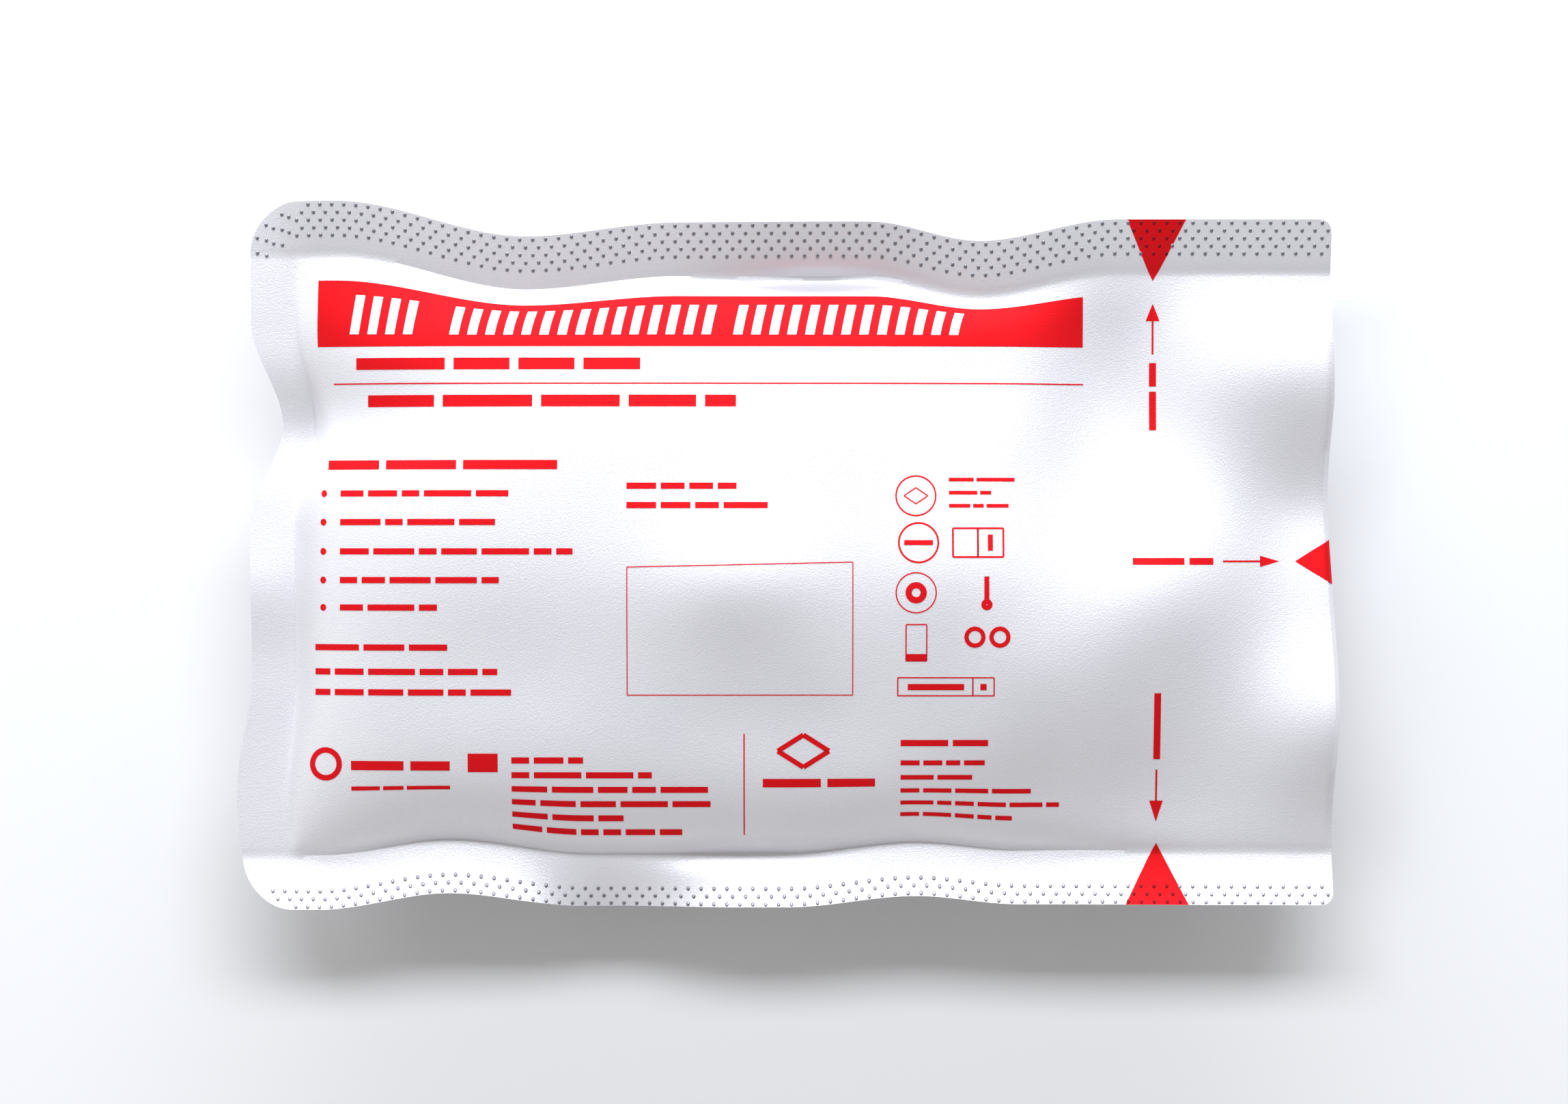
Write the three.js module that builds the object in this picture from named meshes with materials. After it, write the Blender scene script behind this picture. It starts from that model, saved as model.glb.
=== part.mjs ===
import * as THREE from "three";

// Emergency trauma bandage, packed in its sealed laminate pouch and lying on its back.
// Two webs of film, a printed front one and a plain back one, are heat sealed to each other
// along the top, the bottom and the left, and close in a tight seam at the right.
// The folded pressure bandage between them gives the pouch its pillow form.
// X runs along the pouch, Y across it towards the top seal, and +Z out of the printed face.
// The origin is the middle of the pouch on the surface it rests on. Lengths are millimetres.

const pouchLength = 178;
const pouchWidth = 114.4;

// The real laminate is much thinner than its wall here, and the small gap lies where the heat
// seal has fused the two webs.
const filmWall = 1;
const sealGap = 0.3;

const topSealWidth = 8.6;
const bottomSealWidth = 8.6;
const leftSealWidth = 7.9;
const rightSeamWidth = 1.6;

// The seals float at seamHeight above the surface. The front arches up from there, and the
// back sags down to the surface, which presses it flat.
const seamHeight = 13;
const frontRise = 10.8;
const backPress = 3;
const seamBulge = 1.3;

// How far the outer edge of each seal curls up from its inner crease, and how: a power of 1
// is an even slope, and a higher one bends up more towards the edge.
const topSealLift = 2.3;
const bottomSealLift = 2.6;
const leftSealLift = 1.3;
const topCurlPower = 0.85;
const bottomCurlPower = 1.4;
const leftCurlPower = 1.1;

// The form of the arch between the seals. A lean under 1 moves its crest towards the bottom
// seal, a roundness under 1 makes it full, and the softness rounds the creases at its foot.
const crestLean = 0.76;
const crestRoundness = 0.65;
const creaseSoftness = 0.2;

// The pouch fills within flankReach of the left seal's crease.
const flankReach = 30;
const flankRoundness = 0.65;

const topLeftRadius = 8.5;
const bottomLeftRadius = 8;
const rightCornerRadius = 2;

// The waves of a cut edge draw the film in with it: in full beside the edge, then easing to
// nothing over the reach.
const edgeHold = 7;
const edgeReach = 23;
const sideHold = 2;
const sideReach = 16;

// The bandage ends short of the seals, and of the empty end that is torn off.
const packMargin = 6.5;
const emptyLength = 38;
const packClearance = 0.3;
const packCornerRadius = 9;
const packRimBulge = 1.6;

// Each row of an edge table is a crest or a hollow of the cut edge: its place along the edge,
// and how far the edge is drawn in there, as a share of the pouch's size across that edge.
const topEdge = [
  { place: 0.0, drawnIn: 0.002 },
  { place: 0.09, drawnIn: 0.0 },
  { place: 0.262, drawnIn: 0.0505 },
  { place: 0.4, drawnIn: 0.031 },
  { place: 0.575, drawnIn: 0.0305 },
  { place: 0.674, drawnIn: 0.057 },
  { place: 0.8, drawnIn: 0.0265 },
  { place: 1.0, drawnIn: 0.0265 },
];
const bottomEdge = [
  { place: 0.0, drawnIn: 0.001 },
  { place: 0.075, drawnIn: 0.0 },
  { place: 0.193, drawnIn: 0.0235 },
  { place: 0.32, drawnIn: 0.003 },
  { place: 0.5, drawnIn: 0.0035 },
  { place: 0.617, drawnIn: 0.0195 },
  { place: 0.71, drawnIn: 0.0078 },
  { place: 1.0, drawnIn: 0.0065 },
];
const leftEdge = [
  { place: 0.0, drawnIn: 0.0085 },
  { place: 0.165, drawnIn: 0.0 },
  { place: 0.33, drawnIn: 0.0138 },
  { place: 0.545, drawnIn: 0.0124 },
  { place: 0.685, drawnIn: 0.0402 },
  { place: 0.83, drawnIn: 0.0126 },
  { place: 1.0, drawnIn: 0.0118 },
];
const rightEdge = [
  { place: 0.0, drawnIn: 0.0045 },
  { place: 0.11, drawnIn: 0.005 },
  { place: 0.29, drawnIn: 0.0 },
  { place: 0.6, drawnIn: 0.0072 },
  { place: 0.735, drawnIn: 0.0034 },
  { place: 0.9, drawnIn: 0.006 },
  { place: 1.0, drawnIn: 0.006 },
];

// How full the pouch is along its body, from the left seal's crease to the right seam.
const fullness = [
  { place: 0.0, full: 0.95 },
  { place: 0.13, full: 0.97 },
  { place: 0.36, full: 1.0 },
  { place: 0.66, full: 0.94 },
  { place: 0.88, full: 0.56 },
  { place: 1.0, full: 0.3 },
];

// How far below the top seal the body starts to rise, as shares of that seal's width.
const topFoot = [
  { place: 0.0, wider: 0.0 },
  { place: 0.38, wider: 0.0 },
  { place: 0.5, wider: 0.22 },
  { place: 0.68, wider: 0.18 },
  { place: 0.78, wider: 0.0 },
  { place: 1.0, wider: 0.0 },
];

// How far each long seal curls up along its length, as shares of its lift. Below 0 it bends
// down instead.
const topCurl = [
  { place: 0.0, share: 0.4 },
  { place: 0.06, share: 0.9 },
  { place: 0.35, share: 1.0 },
  { place: 0.53, share: 1.7 },
  { place: 0.7, share: 1.0 },
  { place: 1.0, share: 1.0 },
];
const bottomCurl = [
  { place: 0.0, share: 1.0 },
  { place: 0.24, share: 1.0 },
  { place: 0.34, share: -0.5 },
  { place: 0.46, share: 1.0 },
  { place: 1.0, share: 1.0 },
];

// Swells and dents of the front film: the middle and the spread of each, as shares of the
// pouch's length and width, and its height, as a share of frontRise.
const frontDents = [
  { x: 0.5, y: 0.26, spreadX: 0.085, spreadY: 0.06, height: -0.1 },
  { x: 0.455, y: 0.463, spreadX: 0.055, spreadY: 0.06, height: 0.21 },
  { x: 0.24, y: 0.33, spreadX: 0.1, spreadY: 0.08, height: -0.12 },
  { x: 0.645, y: 0.745, spreadX: 0.04, spreadY: 0.045, height: -0.12 },
  { x: 0.15, y: 0.7, spreadX: 0.05, spreadY: 0.05, height: -0.15 },
  { x: 0.65, y: 0.47, spreadX: 0.06, spreadY: 0.07, height: 0.12 },
  { x: 0.735, y: 0.34, spreadX: 0.05, spreadY: 0.06, height: 0.07 },
  { x: 0.7, y: 0.16, spreadX: 0.06, spreadY: 0.04, height: -0.08 },
];

// Swells and dents that both films share, mostly in the empty end.
const sharedDents = [
  { x: 0.8, y: 0.62, spreadX: 0.05, spreadY: 0.1, height: -0.26 },
  { x: 0.795, y: 0.77, spreadX: 0.055, spreadY: 0.085, height: -0.24 },
  { x: 0.99, y: 0.77, spreadX: 0.09, spreadY: 0.065, height: 0.33 },
  { x: 0.99, y: 0.57, spreadX: 0.05, spreadY: 0.06, height: -0.2 },
  { x: 0.83, y: 0.463, spreadX: 0.055, spreadY: 0.09, height: 0.28 },
  { x: 1.0, y: 0.26, spreadX: 0.05, spreadY: 0.08, height: 0.42 },
  { x: 0.03, y: 0.68, spreadX: 0.07, spreadY: 0.05, height: -0.33 },
  { x: 0.0, y: 0.45, spreadX: 0.05, spreadY: 0.05, height: 0.09 },
  { x: 0.0, y: 0.14, spreadX: 0.06, spreadY: 0.08, height: 0.04 },
];

// Slack film beside the pack's corners and the left crease. Here height is the share of the
// fullness that is lost.
const slackSpots = [
  { x: 0.81, y: 0.95, spreadX: 0.07, spreadY: 0.3, height: 0.9 },
  { x: 0.86, y: 0.12, spreadX: 0.08, spreadY: 0.09, height: 0.6 },
  { x: 0.05, y: 0.74, spreadX: 0.045, spreadY: 0.07, height: 0.55 },
];

// Tucks on the creases themselves, where a seal has buckled.
const creaseTucks = [
  { x: 0.53, y: 0.92, spreadX: 0.045, spreadY: 0.014, height: -0.2 },
  { x: 0.46, y: 0.07, spreadX: 0.05, spreadY: 0.011, height: -0.09 },
];

// Swells and dents of the back film, which hangs free beside its resting face.
const backDents = [
  { x: 0.17, y: 0.8, spreadX: 0.08, spreadY: 0.06, height: 0.06 },
  { x: 0.45, y: 0.16, spreadX: 0.1, spreadY: 0.05, height: -0.06 },
  { x: 0.72, y: 0.86, spreadX: 0.08, spreadY: 0.05, height: 0.07 },
];

const clamp01 = (value) => Math.min(1, Math.max(0, value));
const ease = (value) => clamp01(value) ** 2 * (3 - 2 * clamp01(value));

// The value of a table's column at a place, easing from each row to the next.
function easedValue(rows, column, place) {
  const next = rows.findIndex((row) => row.place >= place);
  if (next === 0) return rows[0][column];
  if (next < 0) return rows.at(-1)[column];
  const [a, b] = [rows[next - 1], rows[next]];
  const share = ease((place - a.place) / (b.place - a.place));
  return a[column] + (b[column] - a[column]) * share;
}

// The sum of a table of swells at a point of the web.
function swellAt(rows, x, y) {
  return rows.reduce((sum, row) => {
    const dx = (x / pouchLength - row.x) / row.spreadX;
    const dy = (y / pouchWidth - row.y) / row.spreadY;
    return sum + row.height * Math.exp(-0.5 * (dx * dx + dy * dy));
  }, 0);
}

// Moves a point of a rectangle's corner square so that the square corner becomes an arc.
// right and up count from the rectangle's near corner, and radius is the arc's.
function roundCorner(right, up, radius) {
  const a = clamp01(1 - right / radius);
  const b = clamp01(1 - up / radius);
  if (a === 0 || b === 0) return [right, up];
  const shrink = Math.max(a, b) / Math.hypot(a, b);
  return [radius * (1 - a * shrink), radius * (1 - b * shrink)];
}

// A point of a rectangle, given from its bottom left corner, once its corners are rounded.
function roundedPoint(x, y, length, width, radii) {
  const [onLeft, onBottom] = [x < length / 2, y < width / 2];
  const side = onLeft ? radii.left : radii.right;
  const radius = onBottom ? side.bottom : side.top;
  const fromX = onLeft ? x : length - x;
  const fromY = onBottom ? y : width - y;
  const [movedX, movedY] = roundCorner(fromX, fromY, radius);
  return [onLeft ? movedX : length - movedX, onBottom ? movedY : width - movedY];
}

const pouchRadii = {
  left: { bottom: bottomLeftRadius, top: topLeftRadius },
  right: { bottom: rightCornerRadius, top: rightCornerRadius },
};
const packRadii = {
  left: { bottom: packCornerRadius, top: packCornerRadius },
  right: { bottom: packCornerRadius, top: packCornerRadius },
};

// A point of the flat web once its corners are cut round. The web's x counts from its left
// edge and its y from its bottom edge.
function cutCorners(webX, webY) {
  return roundedPoint(webX, webY, pouchLength, pouchWidth, pouchRadii);
}

// Where a point of the cut web lies in plan once its edges are drawn in.
function planPoint(x, y) {
  const holds = (distance, hold, reach) => 1 - ease((distance - hold) / (reach - hold));
  const top = pouchWidth * easedValue(topEdge, "drawnIn", x / pouchLength);
  const bottom = pouchWidth * easedValue(bottomEdge, "drawnIn", x / pouchLength);
  const left = pouchLength * easedValue(leftEdge, "drawnIn", y / pouchWidth);
  const right = pouchLength * easedValue(rightEdge, "drawnIn", y / pouchWidth);
  return [
    x - pouchLength / 2 +
      left * holds(x, sideHold, sideReach) -
      right * holds(pouchLength - x, sideHold, sideReach),
    y - pouchWidth / 2 +
      bottom * holds(y, edgeHold, edgeReach) -
      top * holds(pouchWidth - y, edgeHold, edgeReach),
  ];
}

// From 0 at the foot beside each long seal to 1 midway between them, steep at its feet.
function archAcross(x, y) {
  const topFootWidth = topSealWidth * (1 + easedValue(topFoot, "wider", x / pouchLength));
  const bodyWidth = pouchWidth - topFootWidth - bottomSealWidth;
  const share = clamp01((y - bottomSealWidth) / bodyWidth);
  const leaning = share ** crestLean;
  const roundArch = 4 * leaning * (1 - leaning);
  return (roundArch ** 2 / (roundArch + creaseSoftness)) ** crestRoundness;
}

// From 0 at the left seal's crease, through 1 over the bandage, to 0 at the right seam.
function fullAlong(x) {
  const bodyLength = pouchLength - leftSealWidth;
  const share = clamp01((x - leftSealWidth) / bodyLength);
  const flank = clamp01((x - leftSealWidth) / flankReach);
  const rise = (1 - (1 - flank) ** 2) ** flankRoundness;
  const close = ease((pouchLength - x) / emptyLength);
  return easedValue(fullness, "full", share) * rise * close;
}

// How far the pack fills the pouch at a point of the web.
function fillAt(x, y) {
  return archAcross(x, y) * fullAlong(x) * (1 - swellAt(slackSpots, x, y));
}

// The small round bulge that each film keeps in the empty end, closing at the seam itself.
function seamBulgeAt(x) {
  const inEmptyEnd = 1 - ease((pouchLength - x) / emptyLength);
  const fromSeam = clamp01((pouchLength - x) / rightSeamWidth);
  return seamBulge * inEmptyEnd * Math.sqrt(1 - (1 - fromSeam) ** 2);
}

// The surface midway between the two films: level at the creases, curled up at the cut edges,
// waved in the empty end and tucked where a seal has buckled.
function midHeight(x, y) {
  const curl = (distance, width, power) => clamp01(1 - distance / width) ** power;
  const topLift = topSealLift * easedValue(topCurl, "share", x / pouchLength);
  const bottomLift = bottomSealLift * easedValue(bottomCurl, "share", x / pouchLength);
  return (
    seamHeight +
    topLift * curl(pouchWidth - y, topSealWidth, topCurlPower) +
    bottomLift * curl(y, bottomSealWidth, bottomCurlPower) +
    leftSealLift * curl(x, leftSealWidth, leftCurlPower) +
    frontRise * swellAt(sharedDents, x, y) * Math.sqrt(archAcross(x, y)) +
    frontRise * swellAt(creaseTucks, x, y)
  );
}

// The upper surface of each film. Dents fade out with the fullness that carries them.
function frontTop(x, y) {
  const full = fillAt(x, y);
  const rise = full + swellAt(frontDents, x, y) * Math.sqrt(full);
  const bulge = seamBulgeAt(x) * archAcross(x, y);
  return midHeight(x, y) + sealGap / 2 + filmWall + frontRise * rise + bulge;
}
function backTop(x, y) {
  const full = fillAt(x, y);
  const sag = full - swellAt(backDents, x, y) * Math.sqrt(full);
  const bulge = seamBulgeAt(x) * archAcross(x, y);
  const hanging = midHeight(x, y) - sealGap / 2 - (seamHeight + backPress) * sag - bulge;
  return Math.max(filmWall, hanging);
}

// Grid lines through each stop, with so many equal steps up to it from the one before.
function gridLines(stops) {
  return stops.flatMap((stop, i) => {
    if (i === 0) return [stop.at];
    const from = stops[i - 1].at;
    return Array.from({ length: stop.steps }, (_, k) => {
      return from + ((stop.at - from) * (k + 1)) / stop.steps;
    });
  });
}

const packLeft = leftSealWidth + packMargin;
const packRight = pouchLength - emptyLength;
const packBottom = bottomSealWidth + packMargin;
const packTop = pouchWidth - topSealWidth - packMargin;

const filmXs = gridLines([
  { at: 0 },
  { at: leftSealWidth, steps: 4 },
  { at: packLeft, steps: 3 },
  { at: packRight, steps: 22 },
  { at: pouchLength - rightSeamWidth, steps: 8 },
  { at: pouchLength, steps: 2 },
]);
const filmYs = gridLines([
  { at: 0 },
  { at: bottomSealWidth, steps: 4 },
  { at: packBottom, steps: 3 },
  { at: packTop, steps: 14 },
  { at: pouchWidth - topSealWidth, steps: 3 },
  { at: pouchWidth, steps: 4 },
]);
const packXs = gridLines([{ at: packLeft }, { at: packRight, steps: 22 }]);
const packYs = gridLines([{ at: packBottom }, { at: packTop, steps: 14 }]);

// A closed body over a grid: an upper and a lower sheet, joined round their rims through any
// rim rings between them. Each sheet or ring takes a grid point and gives its [x, y, z].
function closedBody(xs, ys, lower, upper, rimRings = []) {
  const points = [];
  const faces = [];
  const addQuad = (a, b, c, d) => faces.push([a, b, c], [a, c, d]);
  const addSheet = (sheet) => {
    const first = points.length;
    for (const y of ys) for (const x of xs) points.push(sheet(x, y));
    return (i, j) => first + j * xs.length + i;
  };
  const low = addSheet(lower);
  const high = addSheet(upper);
  const [lastI, lastJ] = [xs.length - 1, ys.length - 1];
  for (let j = 0; j < lastJ; j++) {
    for (let i = 0; i < lastI; i++) {
      addQuad(high(i, j), high(i + 1, j), high(i + 1, j + 1), high(i, j + 1));
      addQuad(low(i, j), low(i, j + 1), low(i + 1, j + 1), low(i + 1, j));
    }
  }
  const rim = [];
  for (let i = 0; i < lastI; i++) rim.push([i, 0]);
  for (let j = 0; j < lastJ; j++) rim.push([lastI, j]);
  for (let i = lastI; i > 0; i--) rim.push([i, lastJ]);
  for (let j = lastJ; j > 0; j--) rim.push([0, j]);
  const addRing = (ring) => {
    const first = points.length;
    rim.forEach(([i, j]) => points.push(ring(xs[i], ys[j])));
    return rim.map((_, k) => first + k);
  };
  const rings = [
    rim.map(([i, j]) => low(i, j)),
    ...rimRings.map(addRing),
    rim.map(([i, j]) => high(i, j)),
  ];
  for (let r = 0; r + 1 < rings.length; r++) {
    rim.forEach((_, k) => {
      const next = (k + 1) % rim.length;
      addQuad(rings[r][k], rings[r][next], rings[r + 1][next], rings[r + 1][k]);
    });
  }
  const geometry = new THREE.BufferGeometry();
  geometry.setAttribute("position", new THREE.Float32BufferAttribute(points.flat(), 3));
  geometry.setIndex(faces.flat());
  geometry.computeVertexNormals();
  return geometry;
}

// A web of film between its upper surface and the same surface one wall lower.
function filmGeometry(topSurface) {
  const surface = (below) => (webX, webY) => {
    const [x, y] = cutCorners(webX, webY);
    return [...planPoint(x, y), topSurface(x, y) - below];
  };
  return closedBody(filmXs, filmYs, surface(filmWall), surface(0));
}

// The folded bandage: a soft block whose two faces follow the films drawn tight over it, with
// round corners in plan and a bulging rim.
function foldedBandageGeometry() {
  const [length, width] = [packRight - packLeft, packTop - packBottom];
  const rounded = (x, y) => {
    const [fromLeft, fromBottom] = [x - packLeft, y - packBottom];
    const [right, up] = roundedPoint(fromLeft, fromBottom, length, width, packRadii);
    return [packLeft + right, packBottom + up];
  };
  const between = (share, outwards) => (gridX, gridY) => {
    const [x, y] = rounded(gridX, gridY);
    const [planX, planY] = planPoint(x, y);
    const middle = planPoint(packLeft + length / 2, packBottom + width / 2);
    const outX = (planX - middle[0]) / length;
    const outY = (planY - middle[1]) / width;
    const out = outwards / Math.hypot(outX, outY, 1e-6);
    const low = backTop(x, y) + packClearance;
    const high = frontTop(x, y) - filmWall - packClearance;
    return [planX + outX * out, planY + outY * out, low + (high - low) * share];
  };
  const rimRings = [0.25, 0.5, 0.75].map((share) => {
    return between(share, packRimBulge * Math.sin(Math.PI * share));
  });
  return closedBody(packXs, packYs, between(0, 0), between(1, 0), rimRings);
}

const filmMaterial = (color) =>
  new THREE.MeshStandardMaterial({ color, roughness: 0.38, metalness: 0.25 });
const printedFilm = filmMaterial("#eceef4");
const plainFilm = filmMaterial("#e4e6ec");
const bandageCloth = new THREE.MeshStandardMaterial({
  color: "#efe9db",
  roughness: 0.95,
  metalness: 0,
});

const pouch = new THREE.Group();
function addPiece(name, geometry, material) {
  const piece = new THREE.Mesh(geometry, material);
  piece.name = name;
  pouch.add(piece);
}
addPiece("front_film", filmGeometry(frontTop), printedFilm);
addPiece("back_film", filmGeometry(backTop), plainFilm);
addPiece("folded_bandage", foldedBandageGeometry(), bandageCloth);

export default pouch;
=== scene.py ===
import math
import random

import bpy
import numpy as np
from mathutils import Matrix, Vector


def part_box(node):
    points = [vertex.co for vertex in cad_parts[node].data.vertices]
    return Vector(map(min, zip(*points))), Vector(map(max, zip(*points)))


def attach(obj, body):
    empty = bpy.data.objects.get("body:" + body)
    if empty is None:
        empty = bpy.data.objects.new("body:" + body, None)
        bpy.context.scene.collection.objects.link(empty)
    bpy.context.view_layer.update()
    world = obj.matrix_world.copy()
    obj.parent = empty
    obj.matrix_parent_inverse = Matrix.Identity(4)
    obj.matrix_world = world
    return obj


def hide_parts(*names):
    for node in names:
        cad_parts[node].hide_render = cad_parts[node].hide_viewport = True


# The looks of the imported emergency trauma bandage: its two films with their crimped seals, the
# red print on the front one, and the folded bandage inside. Sizes and places are millimetres on
# the flat web of film, where x counts from its left edge and y from its bottom edge. The pouch's
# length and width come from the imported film, and the other sizes of the form repeat the part's,
# apart from the film's wall and gap.

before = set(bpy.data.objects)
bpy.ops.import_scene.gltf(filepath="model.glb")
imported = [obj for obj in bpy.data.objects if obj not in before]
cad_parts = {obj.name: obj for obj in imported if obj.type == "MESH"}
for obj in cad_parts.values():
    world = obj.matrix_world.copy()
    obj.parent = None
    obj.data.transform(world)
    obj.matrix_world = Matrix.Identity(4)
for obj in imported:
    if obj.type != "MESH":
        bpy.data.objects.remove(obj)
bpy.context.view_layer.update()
film_low, film_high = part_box("front_film")

MM = 0.001
pouch_length = (film_high[0] - film_low[0]) / MM
pouch_width = (film_high[1] - film_low[1]) / MM

# The wall and the sealed gap as they look at the cut edge, both thinner than in the solids.
film_wall = 0.3
seal_gap = 0.06

top_seal_width = 8.6
bottom_seal_width = 8.6
left_seal_width = 7.9
right_seam_width = 1.6

# The seals float at seam_height above the surface. The front arches up from there, and the
# back sags down to the surface, which presses it flat.
seam_height = 13
front_rise = 10.8
back_press = 3
seam_bulge = 1.3

# How far the outer edge of each seal curls up from its inner crease, and how: a power of 1
# is an even slope, and a higher one bends up more towards the edge.
top_seal_lift = 2.3
bottom_seal_lift = 2.6
left_seal_lift = 1.3
top_curl_power = 0.85
bottom_curl_power = 1.4
left_curl_power = 1.1

# The form of the arch between the seals. A lean under 1 moves its crest towards the bottom
# seal, a roundness under 1 makes it full, and the softness rounds the creases at its foot.
crest_lean = 0.76
crest_roundness = 0.65
crease_softness = 0.2

# The pouch fills within flank_reach of the left seal's crease.
flank_reach = 30
flank_roundness = 0.65

top_left_radius = 8.5
bottom_left_radius = 8
right_corner_radius = 2

# The waves of a cut edge draw the film in with it: in full beside the edge, then easing to
# nothing over the reach.
edge_hold = 7
edge_reach = 23
side_hold = 2
side_reach = 16

# The bandage ends short of the seals, and of the empty end that is torn off.
pack_margin = 6.5
empty_length = 38
pack_corner_radius = 9
pack_rim_bulge = 1.6

# Each row is a crest or a hollow of a cut edge: its place along the edge, and how far the
# edge is drawn in there, both as shares of the pouch's sizes.
place_columns = [("place", float), ("value", float)]
top_edge = np.array([
    (0.0, 0.002),
    (0.09, 0.0),
    (0.262, 0.0505),
    (0.4, 0.031),
    (0.575, 0.0305),
    (0.674, 0.057),
    (0.8, 0.0265),
    (1.0, 0.0265),
], dtype=place_columns)
bottom_edge = np.array([
    (0.0, 0.001),
    (0.075, 0.0),
    (0.193, 0.0235),
    (0.32, 0.003),
    (0.5, 0.0035),
    (0.617, 0.0195),
    (0.71, 0.0078),
    (1.0, 0.0065),
], dtype=place_columns)
left_edge = np.array([
    (0.0, 0.0085),
    (0.165, 0.0),
    (0.33, 0.0138),
    (0.545, 0.0124),
    (0.685, 0.0402),
    (0.83, 0.0126),
    (1.0, 0.0118),
], dtype=place_columns)
right_edge = np.array([
    (0.0, 0.0045),
    (0.11, 0.005),
    (0.29, 0.0),
    (0.6, 0.0072),
    (0.735, 0.0034),
    (0.9, 0.006),
    (1.0, 0.006),
], dtype=place_columns)

# How full the pouch is along its body, from the left seal's crease to the right seam.
fullness = np.array([
    (0.0, 0.95),
    (0.13, 0.97),
    (0.36, 1.0),
    (0.66, 0.94),
    (0.88, 0.56),
    (1.0, 0.3),
], dtype=place_columns)

# How far below the top seal the body starts to rise, as shares of that seal's width.
top_foot = np.array([
    (0.0, 0.0),
    (0.38, 0.0),
    (0.5, 0.22),
    (0.68, 0.18),
    (0.78, 0.0),
    (1.0, 0.0),
], dtype=place_columns)

# How far each long seal curls up along its length, as shares of its lift. Below 0 it bends
# down instead.
top_curl = np.array([
    (0.0, 0.4),
    (0.06, 0.9),
    (0.35, 1.0),
    (0.53, 1.7),
    (0.7, 1.0),
    (1.0, 1.0),
], dtype=place_columns)
bottom_curl = np.array([
    (0.0, 1.0),
    (0.24, 1.0),
    (0.34, -0.5),
    (0.46, 1.0),
    (1.0, 1.0),
], dtype=place_columns)

# Swells and dents of the front film: the middle and the spread of each, as shares of the pouch's
# length and width, and its height, as a share of front_rise. The rows of this table and of the
# next three were picked from tries that were scored against the photograph's shading.
swell_columns = [
    ("x", float), ("y", float), ("spread_x", float), ("spread_y", float), ("height", float),
]
front_dents = np.array([
    (0.5, 0.26, 0.085, 0.06, -0.1),
    (0.455, 0.463, 0.055, 0.06, 0.21),
    (0.24, 0.33, 0.1, 0.08, -0.12),
    (0.645, 0.745, 0.04, 0.045, -0.12),
    (0.15, 0.7, 0.05, 0.05, -0.15),
    (0.65, 0.47, 0.06, 0.07, 0.12),
    (0.735, 0.34, 0.05, 0.06, 0.07),
    (0.7, 0.16, 0.06, 0.04, -0.08),
], dtype=swell_columns)

# Swells and dents that both films share, mostly in the empty end.
shared_dents = np.array([
    (0.8, 0.62, 0.05, 0.1, -0.26),
    (0.795, 0.77, 0.055, 0.085, -0.24),
    (0.99, 0.77, 0.09, 0.065, 0.33),
    (0.99, 0.57, 0.05, 0.06, -0.2),
    (0.83, 0.463, 0.055, 0.09, 0.28),
    (1.0, 0.26, 0.05, 0.08, 0.42),
    (0.03, 0.68, 0.07, 0.05, -0.33),
    (0.0, 0.45, 0.05, 0.05, 0.09),
    (0.0, 0.14, 0.06, 0.08, 0.04),
], dtype=swell_columns)

# Slack film beside the pack's corners: here height is the share of the fullness that is lost.
slack_spots = np.array([
    (0.81, 0.95, 0.07, 0.3, 0.9),
    (0.86, 0.12, 0.08, 0.09, 0.6),
    (0.05, 0.74, 0.045, 0.07, 0.55),
], dtype=swell_columns)

# Tucks on the creases themselves, where a seal has buckled.
crease_tucks = np.array([
    (0.53, 0.92, 0.045, 0.014, -0.2),
    (0.46, 0.07, 0.05, 0.011, -0.09),
], dtype=swell_columns)

# Swells and dents of the back film, which hangs free beside its resting face. They are guessed,
# because the photograph doesn't show the back.
back_dents = np.array([
    (0.17, 0.8, 0.08, 0.06, 0.06),
    (0.45, 0.16, 0.1, 0.05, -0.06),
    (0.72, 0.86, 0.08, 0.05, 0.07),
], dtype=swell_columns)


# Camera: straight above, with the top seal up, as the photograph has it. The view's width is
# what it takes in at the height of the seals, and farthest_seen alone is in metres.
view_width = 254
view_right_of_pouch = -0.55
view_above_pouch = 0.5
lens = 100
sensor_width = 36
farthest_seen = 20
camera_data = bpy.data.cameras.new("overhead_camera")
camera_data.lens = lens
camera_data.sensor_width = sensor_width
camera_data.clip_end = farthest_seen
camera = bpy.data.objects.new("overhead_camera", camera_data)
camera_height = seam_height + view_width * lens / sensor_width
camera.location = (view_right_of_pouch * MM, view_above_pouch * MM, camera_height * MM)
bpy.context.collection.objects.link(camera)
bpy.context.scene.camera = camera


# Shape of the films.

def ease(value):
    """From 0 to 1, level at both ends."""
    value = np.clip(value, 0, 1)
    return value * value * (3 - 2 * value)


def eased_value(rows, place):
    """The value of a table at each place, easing from each row to the next."""
    value = np.full(np.shape(place), rows["value"][0])
    for before, after in zip(rows[:-1], rows[1:]):
        share = ease((place - before["place"]) / (after["place"] - before["place"]))
        eased = before["value"] + (after["value"] - before["value"]) * share
        value = np.where(place >= before["place"], eased, value)
    return value


def swell_at(rows, x, y):
    """The sum of a table of swells at each point of the web."""
    total = np.zeros(np.shape(x))
    for row in rows:
        away_x = (x / pouch_length - row["x"]) / row["spread_x"]
        away_y = (y / pouch_width - row["y"]) / row["spread_y"]
        total = total + row["height"] * np.exp(-0.5 * (away_x ** 2 + away_y ** 2))
    return total


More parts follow.
